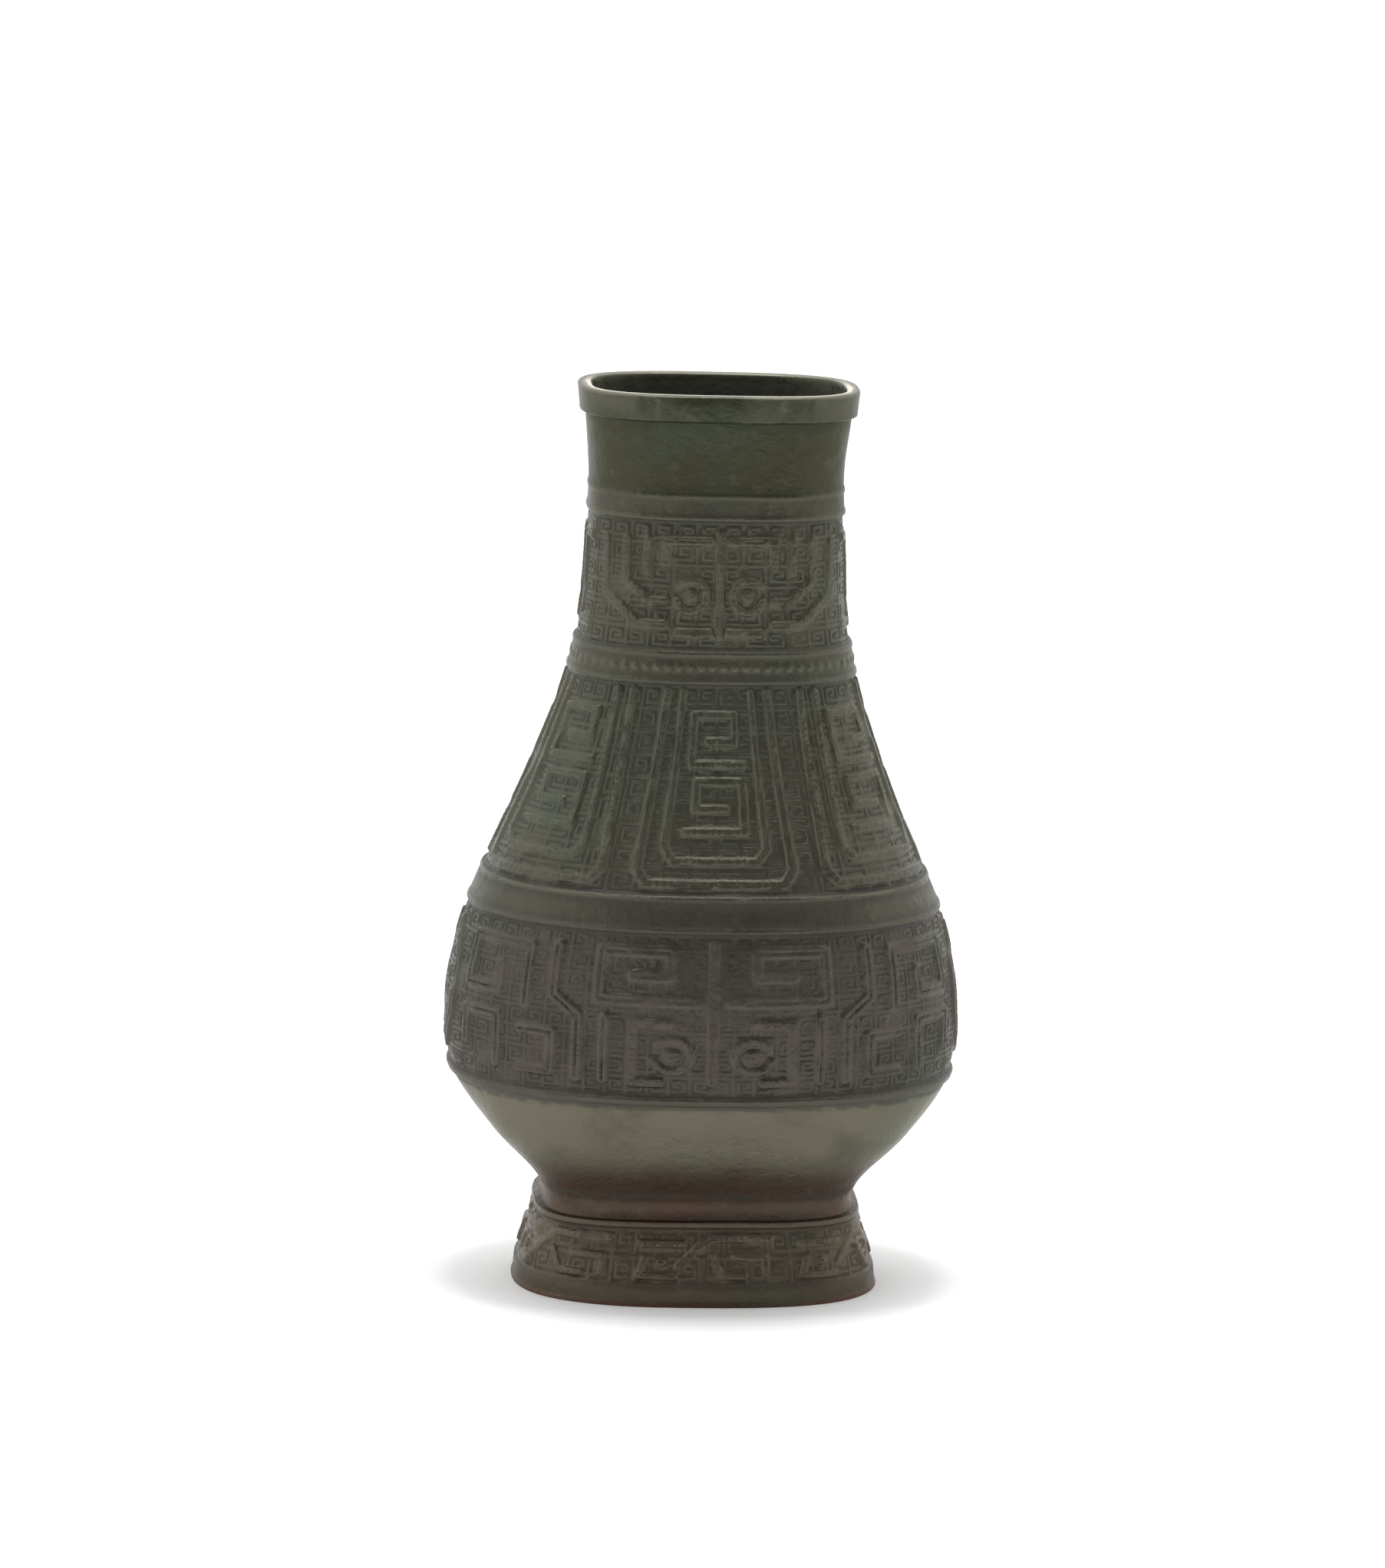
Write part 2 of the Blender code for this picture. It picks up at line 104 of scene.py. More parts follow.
# Ledges and ridges
GROUND_SINK = 0.0006
RELIEF = 0.0007
RIDGE_WIDTH = 0.0022
RIDGE_PROUD = 0.00035
BORDER_WIDTH = 0.0018
BORDER_PROUD = 0.0007
BEVEL = 0.0005
STEP_RISE = 0.0007
RIDGE_SECTION = ((0.12, 0.2), (0.30, 0.85), (0.5, 1.0), (0.70, 0.85), (0.88, 0.2))
# Width of the dirt and painted shade in the corners
GRIME_AND_SHADE_WIDTH = 0.0006
# Width of the painted highlight along the ridge under the shoulder band
PAINTED_HIGHLIGHT_LINE_WIDTH = 0.0004

# Fine relief, in millimetres. Strokes of a half width over THREAD_LEAST_HALF carry a cut thread.
STROKE_SLOPE = 0.65
STROKE_TRIM = 0.1
THREAD_DEPTH = 0.38
THREAD_WIDTH = 0.50
THREAD_LEAST_HALF = 1.1
EYE_MARGIN = 2.0
SPIRAL_SIZE = 6.0
SPIRAL_DEPTH = 0.32
SPIRAL_WIDTH = 0.62
SPIRAL_CLEAR = 0.45
SPIRAL_FADE = 0.5
BAND_MARGIN = 0.3
GROOVE_FADE = 0.4
PEARL_PITCH = 3.0
PEARL_HEIGHT = 0.28

# Fine relief, as shares of the relief, of a groove's depth, or of the bosses' pitch
CROWN = 0.06
EYE_RISE = 1.25
PUPIL_DEPTH = 0.5
FIGURE_GROOVE = 0.50
PEARL_RADIUS = 0.42
PEARL_SLOPE = 1.6

# How much of the relief is worn away in patches, and on the front of the belly, where the worn place has a
# middle and sizes in shares of the band
PATCH_WEAR = 0.60
BELLY_WEAR = 0.92
BELLY_WEAR_ACROSS = 0.42
BELLY_WEAR_MIDDLE = 0.72
BELLY_WEAR_UP = 0.38
LEAST_RELIEF = 0.15

# Slow swells of the casting: size in millimetres, radians per millimetre along x, y and z, and phase
SWELLS = (
    (0.16, 0.043, 0.0, 0.061, 1.1),
    (0.12, 0.083, 0.07, -0.047, 0.0),
    (0.05, 0.21, -0.13, 0.17, 2.0),
    (0.04, 0.0, -0.27, 0.31, 0.5),
)
SWELL_CORE = 0.01

# Pattern
PANELS = 6
FOOT_DRAGONS = 6
PANEL_PITCH_SHARE = 0.82

# Colours of the patina, and of the painted shade, reflection and highlights laid into it
OLIVE = (0.071, 0.069, 0.049)
BROWN = (0.064, 0.055, 0.044)
# Lower belly: a grey-olive tone, painted lighter as a painted reflection of the pale floor
GREY_OLIVE_AND_PAINTED_REFLECTION = (0.130, 0.120, 0.084)
RUSSET = (0.068, 0.044, 0.030)
GREEN = (0.050, 0.072, 0.048)
UMBER = (0.038, 0.034, 0.024)
DUST = (0.115, 0.112, 0.090)
# Rubbed metal on what stands out, laid on lighter as a painted highlight
RUBBED_AND_PAINTED_HIGHLIGHT = (0.170, 0.162, 0.128)
# Dirt in the grooves, and painted shade in the corners and under the ledges
DIRT_AND_PAINTED_SHADE = (0.012, 0.012, 0.009)
# The polished inner edge of the lip, laid on as a bright painted highlight
POLISH_AND_PAINTED_HIGHLIGHT = (0.62, 0.58, 0.48)
# Worn edges of the lip and ridges, laid on as a bright painted highlight
WORN_EDGE_AND_PAINTED_HIGHLIGHT = (0.340, 0.320, 0.240)
# The inside: dull, with painted shade for the dark within the mouth
INSIDE_PAINTED_SHADE = (0.058, 0.056, 0.045)
# Plain neck: olive green, with painted shade for the dark that the neck reflects
NECK_OLIVE_AND_PAINTED_SHADE = (0.035, 0.036, 0.015)
FOOT_BROWN = (0.087, 0.069, 0.048)
# Painted shade in the crease over the foot: a dark red-brown band
JUNCTION_PAINTED_SHADE = (0.044, 0.023, 0.012)
RED_EDGE = (0.110, 0.034, 0.018)

# How much of a colour is laid on, and how much of the polish and of the worn edges, both with painted
# highlights, the back keeps
NECK_SHARE = 0.8
JUNCTION_SHADE_SHARE = 0.95
RED_SHARE = 0.6
RUBBED_AND_HIGHLIGHT_SHARE = 0.30
WORN_EDGE_HIGHLIGHT_SHARE = 0.6
DIRT_AND_SHADE_SHARE = 0.55
BACK_HIGHLIGHT_SHARE = 0.12

# Patterns of the patina: scale, detail, roughness and distortion
CLOUD = (14.0, 3.0, 0.5, 0.6)
PATCHES = (46.0, 5.0, 0.6, 0.4)
FINE = (260.0, 4.0, 0.62, 0.0)
GRAIN = (1100.0, 4.0, 0.6, 0.0)
CLOUD_RISE = 0.010
GRAIN_STRENGTH = 0.22
GRAIN_DEPTH = 0.0003
FINE_STRENGTH = 0.40
FINE_DEPTH = 0.0010

# Gloss of the patina
METAL = 0.75
METAL_HOLLOW = 0.35
METAL_INSIDE = 0.1
ROUGHNESS = (0.36, 0.50)
ROUGHNESS_HOLLOW = 0.18
ROUGHNESS_INSIDE = 0.75

# Studio
DARK_SIDE = (0.14, -0.93, 0.34)
DARK_FROM = 0.50
DARK_FULL = 0.97
STUDIO_WHITE = 1.5
STUDIO_DARK = 0.05
OVERHEAD_POWER = 9.0
OVERHEAD_HEIGHT = 1.6
OVERHEAD_SIZE = 0.35
FLOOR_HALF = 6.0
FLOOR_WHITE = 0.93
FLOOR_ROUGHNESS = 0.9

# Camera: its turn, rise and roll in degrees, and the place that it looks at, to the side and up
CAMERA_TURN = -4.26
CAMERA_RISE = 11.79
CAMERA_ROLL = 1.68
CAMERA_DISTANCE = 1.696
TARGET_ACROSS = -0.0041
TARGET_HEIGHT = 0.1394
FOCAL_PIXELS = 8071.0
LONG_SIDE_PIXELS = 2044.0
SENSOR = 36.0

# Sampling of the surface
COLUMNS = 720
OUTER_STEP = 0.00026
INNER_STEP = 0.0020
INNER_ROWS = 90
INNER_LOWEST = 15
CORNER_STEPS = 6
POLISHED_HIGHLIGHT_STEPS = 3
MOST_TRIANGLES = 192_000
QUARTER_SAMPLES = 160
SPIRAL_SAMPLES = 96
WALL_SAMPLES = 2000
SNAP = 2e-6
WELD = 1e-6
SHARP_ANGLE = 50
TO_MM = 1000.0

# The attribute "proud" tells the patina how dirty or rubbed a place is, and where it lays painted shade and
# painted highlights. Two of its values are marks.
INSIDE = -2.0
# Mark of the polished inner edge of the lip, which gets a painted highlight
POLISHED_HIGHLIGHT_MARK = 2.0
UNDERSIDE = 0.0
PLAIN = 0.2
GROUND = 0.25
STEP = 0.3
EDGE = 0.5
LIP_FACE = 0.7
LIP_CORNER = 0.8
LIP_TOP = 1.0

# What relief adds to it or takes off: raised places get rubbed wear with painted highlights, and grooves get
# dirt
ON_FIGURE = 0.2
IN_THREAD = 0.5
IN_SPIRAL = 0.7
ON_PEARL = 0.5
ON_RIDGE = 0.35
# A painted highlight along the ridge under the shoulder band
ON_PAINTED_HIGHLIGHT_LINE = 0.5

# Its ranges that the patina reads
HOLLOW_RANGE = (-0.6, 0.3)
RUBBED_AND_HIGHLIGHT_RANGE = (0.1, 0.65)
WORN_EDGE_HIGHLIGHT_RANGE = (0.72, 0.98)
POLISHED_HIGHLIGHT_RANGE = (1.3, 1.9)
INSIDE_RANGE = (-1.9, -1.4)

# Levels that follow from the zones
FOOT_TOP = FOOT_LIP_HEIGHT + FOOT_BAND_HEIGHT
CREASE = FOOT_TOP + COVE_HEIGHT
BELLY_LOW = CREASE + LOWER_BELLY_HEIGHT
BELLY_TOP = BELLY_LOW + BELLY_BAND_HEIGHT
SHOULDER_LOW = BELLY_TOP + LOWER_GIRDLE_HEIGHT
SHOULDER_TOP = SHOULDER_LOW + SHOULDER_BAND_HEIGHT
NECK_LOW = SHOULDER_TOP + MIDDLE_GIRDLE_HEIGHT
NECK_TOP = NECK_LOW + NECK_BAND_HEIGHT
PLAIN_LOW = NECK_TOP + UPPER_GIRDLE_HEIGHT
LIP_LOW = PLAIN_LOW + PLAIN_NECK_HEIGHT
HEIGHT = LIP_LOW + LIP_HEIGHT
CEILING = CREASE - FLOOR_DROP
FLOOR = CEILING + FLOOR_THICKNESS
# Height of the painted highlight line on the ridge under the shoulder band
PAINTED_HIGHLIGHT_LINE = SHOULDER_LOW - 0.4 * RIDGE_WIDTH

# Heights over which one colour of the patina turns into the next, and the depth over which the polish and the
# painted highlights fade towards the back
BELLY_FADE = (BELLY_TOP - 0.012, SHOULDER_LOW + 0.016)
LOWER_BELLY_FADE = (BELLY_LOW - 0.0008, BELLY_LOW)
RUSSET_FADE = (CREASE - 0.001, CREASE + 0.018)
FOOT_FADE = (FOOT_TOP - 0.002, FOOT_TOP + 0.001)
NECK_FADE = (PLAIN_LOW - 0.004, PLAIN_LOW + 0.002)
JUNCTION_START = (CREASE - 0.0030, CREASE - 0.0005)
JUNCTION_END = (CREASE + 0.005, CREASE + 0.018)
RED_FADE = (0.0004, 0.0016)
FRONT_HIGHLIGHT_FADE = (-0.004, 0.014)


def between(low, high, share):
    return low + (high - low) * share


class Curve:
    """A smooth curve of a value over height through a few points."""

    def __init__(self, points):
        self.x = np.array([point[0] for point in points])
        self.y = np.array([point[1] for point in points])
        self.slope = np.gradient(self.y, self.x)

    def at(self, x):
        """Value and slope at one height."""
        i = int(np.clip(np.searchsorted(self.x, x) - 1, 0, len(self.x) - 2))
        run = self.x[i + 1] - self.x[i]
        t = (x - self.x[i]) / run
        rise = self.y[i + 1] - self.y[i]
        start, end = self.slope[i] * run, self.slope[i + 1] * run
        square, cube = 3 * rise - 2 * start - end, start + end - 2 * rise
        value = self.y[i] + start * t + square * t**2 + cube * t**3
        return value, (start + 2 * square * t + 3 * cube * t**2) / run


FOOT = Curve([
    (0.0, FOOT_EDGE_HALF),
    (between(0.0, FOOT_LIP_HEIGHT, 0.25), between(FOOT_EDGE_HALF, FOOT_LIP_HALF, 0.8)),
    (between(0.0, FOOT_LIP_HEIGHT, 0.6), FOOT_LIP_HALF),
    (FOOT_TOP, FOOT_BAND_TOP_HALF),
])
BODY = Curve([
    (FOOT_TOP, COVE_HALF + STEP_RISE),
    (between(FOOT_TOP, CREASE, 0.4), COVE_HALF),
    (CREASE, CREASE_HALF),
    (between(CREASE, BELLY_LOW, 0.5), LOWER_BELLY_HALF),
    (BELLY_LOW, BELLY_LOW_HALF),
    (between(BELLY_LOW, BELLY_TOP, 0.36), BELLY_HALF),
    (BELLY_TOP, BELLY_TOP_HALF),
    (SHOULDER_LOW, SHOULDER_LOW_HALF),
    (between(SHOULDER_LOW, SHOULDER_TOP, 0.5), SHOULDER_MIDDLE_HALF),
    (SHOULDER_TOP, SHOULDER_TOP_HALF),
    (NECK_LOW, NECK_LOW_HALF),
    (NECK_TOP, NECK_TOP_HALF),
    (PLAIN_LOW, NECK_HALF),
    (LIP_LOW, NECK_FLARE_HALF),
])
LIP = Curve([
    (LIP_LOW, LIP_LOW_HALF),
    (HEIGHT, LIP_HALF),
])
SECTION = Curve([
    (0.0, FOOT_ROUNDNESS),
    (CREASE, CREASE_ROUNDNESS),
    (BELLY_LOW, BELLY_ROUNDNESS),
    (SHOULDER_LOW, BELLY_ROUNDNESS),
    (SHOULDER_TOP, NECK_ROUNDNESS),
    (HEIGHT, LIP_ROUNDNESS),
])
TURNS = np.linspace(-0.25, 0.25, COLUMNS + 1)


def quarter_table(roundness):
    """Angles along a quarter of the section, from the front to the side, and the length up to each."""
    angle = np.linspace(0.0, math.pi / 2, QUARTER_SAMPLES)
    x = np.sin(angle) ** (2 / roundness)
    y = DEPTH_TO_WIDTH * np.cos(angle) ** (2 / roundness)
    return angle, np.concatenate([[0.0], np.cumsum(np.hypot(np.diff(x), np.diff(y)))])


def quarter_length(curve, height):
    """Length of a quarter of the section, from the front centre to the side centre."""
    return curve.at(height)[0] * quarter_table(SECTION.at(height)[0])[1][-1]


def ring(curve, height, out=0.0, shrink=1.0, level=None):
    """Points across the front half at a height, one for each column, moved out along the normal."""
    half, slope = curve.at(height)
    roundness = round(SECTION.at(height)[0], 3)
    angle_table, length_table = quarter_table(roundness)
    along = np.abs(TURNS) * 4 * length_table[-1]
    along[length_table[-1] - along < SNAP] = length_table[-1]
    along[along < SNAP] = 0.0
    angle = np.interp(along, length_table, angle_table)
    cosine = np.where(along == length_table[-1], 0.0, np.cos(angle))
    x, y = np.sin(angle) ** (2 / roundness), cosine ** (2 / roundness)
    across, deep = x ** (roundness - 1), y ** (roundness - 1) / DEPTH_TO_WIDTH
    size = np.hypot(across, deep)
    across, deep = across / size, deep / size
    rise = -(x * across + DEPTH_TO_WIDTH * y * deep) * slope
    length = np.hypot(1.0, rise)
    side = np.sign(TURNS)
    normal = np.stack([across * side, -deep, rise], axis=1) / length[:, None]
    point = np.stack([half * x * side, -half * DEPTH_TO_WIDTH * y, np.full(len(x), height)], axis=1)
    point += np.asarray(out).reshape(-1, 1) * normal
    point[:, :2] *= shrink
    if level is not None:
        point[:, 2] = level
    return point


def smooth(value):
    """0 below 0, 1 above 1, and a soft step between."""
    t = np.clip(value, 0.0, 1.0)
    return t * t * (3 - 2 * t)


def mirrored(points):
    return [(-x, y) for x, y in points]


def both_sides(strokes):
    """Each stroke and its mirror image across the front's middle."""
    return [(side, width) for points, width in strokes for side in (points, mirrored(points))]


def lid(x, y, across, up):
    """A ring round an eye, open on its outer side."""
    angles = [math.radians(angle) for angle in range(40, 341, 20)]
    return [(x + across * math.cos(angle), y + up * math.sin(angle)) for angle in angles]


def neck_figures():
    """Two plumed dragons face a central ridge.

    Here and below, places are shares of the quarter's length and of the band's height.
    """
    strokes = [([(0.0, 0.10), (0.0, 0.90)], 0.055)] + both_sides([
        (lid(0.155, 0.42, 0.087, 0.125), 0.042),
        ([(0.05, 0.13), (0.22, 0.13)], 0.060),
        ([(0.06, 0.85), (0.30, 0.85), (0.30, 0.68)], 0.060),
        ([(0.30, 0.19), (0.44, 0.19), (0.66, 0.43), (0.66, 0.84)], 0.060),
        ([(0.30, 0.37), (0.39, 0.37), (0.53, 0.53), (0.53, 0.86)], 0.060),
        ([(0.41, 0.86), (0.41, 0.60)], 0.055),
        ([(0.78, 0.16), (0.92, 0.16), (0.92, 0.84), (0.82, 0.84)], 0.065),
    ])
    eyes = [(side * 0.155, 0.42, 0.040, 0.062) for side in (-1, 1)]
    return strokes, eyes


def belly_figures():
    """A beast's mask, with a body that runs back from it on each side."""
    strokes = [([(0.0, 0.10), (0.0, 0.94)], 0.055)] + both_sides([
        (lid(0.118, 0.26, 0.057, 0.100), 0.036),
        ([(0.130, 0.46), (0.235, 0.46), (0.235, 0.09), (0.150, 0.09)], 0.045),
        ([(0.320, 0.10), (0.320, 0.48)], 0.055),
        ([(0.050, 0.60), (0.340, 0.60), (0.340, 0.90), (0.130, 0.90), (0.130, 0.75), (0.240, 0.75)], 0.060),
        ([(0.400, 0.10), (0.400, 0.48), (0.480, 0.60), (0.480, 0.90)], 0.060),
        ([(0.580, 0.12), (0.480, 0.12), (0.480, 0.36), (0.580, 0.36)], 0.055),
        ([(0.570, 0.52), (0.570, 0.88), (0.790, 0.88), (0.790, 0.58), (0.670, 0.58), (0.670, 0.73)], 0.060),
        ([(0.660, 0.12), (0.660, 0.42), (0.790, 0.42), (0.790, 0.22)], 0.055),
        ([(0.950, 0.90), (0.880, 0.70), (0.880, 0.36), (0.940, 0.12)], 0.055),
    ])
    eyes = [(side * 0.118, 0.26, 0.030, 0.052) for side in (-1, 1)]
    return strokes, eyes


def shoulder_figures():
    """Pendant panels: a deep frame, open to the girdle above, round a column of hooks."""
    pitch = 4 / PANELS
    half = pitch / 2 * PANEL_PITCH_SHARE
    narrow = 0.90
    strokes = []
    for i in range(-(PANELS // 4), PANELS // 4 + 1):
        middle = i * pitch
        frame_line = [(-half * narrow, 0.97), (-half, 0.12), (-half * 0.86, 0.05)]
        frame_line += mirrored(frame_line[::-1])
        strokes.append(([(middle + x, y) for x, y in frame_line], 0.034))
        inner = 0.68 * half
        lining = [(-inner * narrow, 0.97), (-inner, 0.22), (-inner * 0.8, 0.16)]
        lining += mirrored(lining[::-1])
        strokes.append(([(middle + x, y) for x, y in lining], 0.028))
        for low, side in ((0.28, 1), (0.60, -1)):
            hook = [(-0.42, 0.02), (0.40, 0.02), (0.40, 0.26), (-0.30, 0.26), (-0.30, 0.13), (0.14, 0.13)]
            strokes.append(([(middle + side * x * half, low + y) for x, y in hook], 0.030))
    return strokes, []


def foot_figures():
    """Dragons that all run one way round the foot."""
    count = FOOT_DRAGONS // 2
    pitch = 2 / count
    strokes, eyes = [], []
    for i in range(count):
        start = -1 + i * pitch
        for points, width in (
            ([(0.36, 0.34), (0.45, 0.60), (0.56, 0.84), (0.93, 0.84)], 0.105),
            ([(0.15, 0.46), (0.12, 0.16), (0.33, 0.14)], 0.095),
            ([(0.12, 0.74), (0.38, 0.74)], 0.100),
            ([(0.56, 0.52), (0.62, 0.16), (0.76, 0.16)], 0.100),
            ([(0.70, 0.50), (0.89, 0.50), (0.89, 0.20)], 0.095),
        ):
            strokes.append(([(start + x * pitch, y) for x, y in points], width))
        eyes.append((start + 0.25 * pitch, 0.40, 0.038 * pitch, 0.090))
    return strokes, eyes


def line_distance(x, y, points):
    """Distance of each place from a broken line."""
    nearest = np.full(np.broadcast(x, y).shape, np.inf)
    for (ax, ay), (bx, by) in zip(points, points[1:]):
        run = (bx - ax, by - ay)
        share = np.clip(((x - ax) * run[0] + (y - ay) * run[1]) / (run[0] ** 2 + run[1] ** 2), 0.0, 1.0)
        nearest = np.minimum(nearest, np.hypot(x - ax - share * run[0], y - ay - share * run[1]))
    return nearest


def spiral_tile(size):
    """Distance from a square spiral's line, over one cell."""
    place = (np.arange(SPIRAL_SAMPLES) + 0.5) / SPIRAL_SAMPLES * size
    line = [
        (0.13, 0.13), (0.87, 0.13), (0.87, 0.87), (0.13, 0.87),
        (0.13, 0.39), (0.62, 0.39), (0.62, 0.63), (0.39, 0.63),
    ]
    return line_distance(place[None, :], place[:, None], [(px * size, py * size) for px, py in line])


def wear(x, y):
    """Share of the relief that is left at places in millimetres along the band and up.

    The waves that make up the worn patches are 7 to 33 mm long.
    """
    patch = np.sin(0.19 * x + 0.8) * np.sin(0.23 * y + 0.11 * x + 1.3) + 0.6 * np.sin(0.41 * x - 0.37 * y)
    patch = patch + 0.5 * np.sin(0.93 * x + 0.4) * np.sin(0.87 * y - 0.5 * x)
    return 1 - PATCH_WEAR * smooth(patch / 1.2)


def band_relief(curve, low, high, figures, heights):
    """Height of the relief over a band, in metres from the ground, and the attribute "proud" there."""
    wide = quarter_length(curve, between(low, high, 0.5)) * TO_MM
    tall = (high - low) * TO_MM
    x = TURNS * 4 * wide
    y = (heights - low) * TO_MM
    strokes, eyes = figures()
    proud = np.zeros((len(y), len(x)))
    thread = np.zeros_like(proud)
    away = np.full_like(proud, np.inf)

    def window(points, reach):
        px = [point[0] for point in points]
        py = [point[1] for point in points]
        columns = slice(*np.searchsorted(x, (min(px) - reach, max(px) + reach)))
        rows = slice(*np.searchsorted(y, (min(py) - reach, max(py) + reach)))
        return rows, columns

    for points, width in strokes:
        line = [(px * wide, py * tall) for px, py in points]
        half = width * tall / 2
        rows, columns = window(line, half + 2 * SPIRAL_CLEAR + STROKE_SLOPE)
        distance = line_distance(x[None, columns], y[rows, None], line)
        rise = smooth((half + STROKE_SLOPE - STROKE_TRIM - distance) / STROKE_SLOPE)
        rise += CROWN * np.clip(1 - (distance / half) ** 2, 0, 1)
        proud[rows, columns] = np.maximum(proud[rows, columns], rise)
        if half > THREAD_LEAST_HALF:
            groove = smooth(1 - distance / THREAD_WIDTH)
            thread[rows, columns] = np.maximum(thread[rows, columns], groove)
        away[rows, columns] = np.minimum(away[rows, columns], distance - half)
    for ex, ey, across, up in eyes:
        centre = (ex * wide, ey * tall)
        ra, ru = across * wide, up * tall
        rows, columns = window([centre], max(ra, ru) + EYE_MARGIN)
        share = np.hypot((x[None, columns] - centre[0]) / ra, (y[rows, None] - centre[1]) / ru)
        distance = (share - 1) * min(ra, ru)
        boss = np.sqrt(np.clip(1 - (share * 1.02) ** 2, 0, 1)) * EYE_RISE
        pupil = smooth(1.2 - share * 5)
        proud[rows, columns] = np.maximum(proud[rows, columns], boss - PUPIL_DEPTH * pupil)
        away[rows, columns] = np.minimum(away[rows, columns], distance)

    count = 2 * round(2 * wide / SPIRAL_SIZE / 2)
    size = 2 * wide / count
    tile = spiral_tile(size)
    tiers = max(1, round(tall / size))
    tier = tall / tiers
    column = (x + wide) / size
    row = y / tier
    last = SPIRAL_SAMPLES - 1
    u = ((column % 1) * SPIRAL_SAMPLES).astype(int).clip(0, last)
    v = ((row % 1) * SPIRAL_SAMPLES).astype(int).clip(0, last)
    flip = (np.floor(column).astype(int)[None, :] + np.floor(row).astype(int)[:, None]) % 2
    spiral = np.where(flip == 0, tile[v[:, None], u[None, :]], tile[v[:, None], last - u[None, :]])
    groove = smooth(1 - spiral / SPIRAL_WIDTH)
    margin = np.minimum(y, tall - y)[:, None]
    beside = smooth((away - SPIRAL_CLEAR) / SPIRAL_FADE)
    over = FIGURE_GROOVE * smooth(-away / GROOVE_FADE)
    groove = groove * smooth((margin - BAND_MARGIN) / GROOVE_FADE) * np.where(away < 0, over, beside)
    left = wear(x[None, :], y[:, None])
    if figures is belly_figures:
        aside = (x[None, :] / (BELLY_WEAR_ACROSS * wide)) ** 2
        above = ((y[:, None] / tall - BELLY_WEAR_MIDDLE) / BELLY_WEAR_UP) ** 2
        left = left * (1 - BELLY_WEAR * np.exp(-aside - above))
    thread = thread * np.minimum(proud, 1)
    cut = (thread * THREAD_DEPTH + groove * SPIRAL_DEPTH) * left / TO_MM
    height = RELIEF * proud * (LEAST_RELIEF + (1 - LEAST_RELIEF) * left) - cut
    dirt = (IN_THREAD * thread + IN_SPIRAL * groove) * left
    return height, GROUND + ON_FIGURE * np.clip(proud, 0, 1) - dirt


FOOT_BAND = (FOOT, FOOT_LIP_HEIGHT + BEVEL, FOOT_TOP - BORDER_WIDTH, foot_figures)
BELLY_BAND = (BODY, BELLY_LOW + BORDER_WIDTH + BEVEL, BELLY_TOP, belly_figures)
SHOULDER_BAND = (BODY, SHOULDER_LOW, SHOULDER_TOP, shoulder_figures)
NECK_BAND = (BODY, NECK_LOW, NECK_TOP, neck_figures)


def ridge(low):
    """A rounded ridge on the wall, from a height up."""
    return [(low + RIDGE_WIDTH * share, RIDGE_PROUD * rise) for share, rise in RIDGE_SECTION]


def ledges(curve):
    """How far the wall stands out over height, apart from the figures."""
    if curve is FOOT:
        return [
            (0.0, 0.0), (FOOT_LIP_HEIGHT, 0.0), (FOOT_LIP_HEIGHT + BEVEL, -GROUND_SINK),
            (FOOT_BAND[2], -GROUND_SINK), (FOOT_BAND[2] + BEVEL, BORDER_PROUD), (FOOT_TOP, BORDER_PROUD),
        ]
    rows = [
        (FOOT_TOP, 0.0), (between(CREASE, BELLY_LOW, 0.985), 0.0), (BELLY_LOW, BORDER_PROUD),
        (BELLY_LOW + BORDER_WIDTH, BORDER_PROUD), (BELLY_BAND[1], -GROUND_SINK), (BELLY_TOP, -GROUND_SINK),
    ]
    rows += ridge(BELLY_TOP)
    rows += [(BELLY_TOP + RIDGE_WIDTH, 0.0), (SHOULDER_LOW - RIDGE_WIDTH, 0.0)]
    rows += ridge(SHOULDER_LOW - RIDGE_WIDTH)
    rows += [(SHOULDER_LOW, -GROUND_SINK), (SHOULDER_TOP, -GROUND_SINK)]
    rows += ridge(SHOULDER_TOP)
    rows += [(SHOULDER_TOP + RIDGE_WIDTH, 0.0), (NECK_LOW - RIDGE_WIDTH, 0.0)]
    rows += ridge(NECK_LOW - RIDGE_WIDTH)
    rows += [(NECK_LOW, -GROUND_SINK), (NECK_TOP, -GROUND_SINK)]
    rows += ridge(NECK_TOP)
    rows += [(NECK_TOP + RIDGE_WIDTH, 0.0), (PLAIN_LOW - RIDGE_WIDTH, 0.0)]
    rows += ridge(PLAIN_LOW - RIDGE_WIDTH)
    rows += [(PLAIN_LOW, 0.0), (LIP_LOW, 0.0)]
    return rows


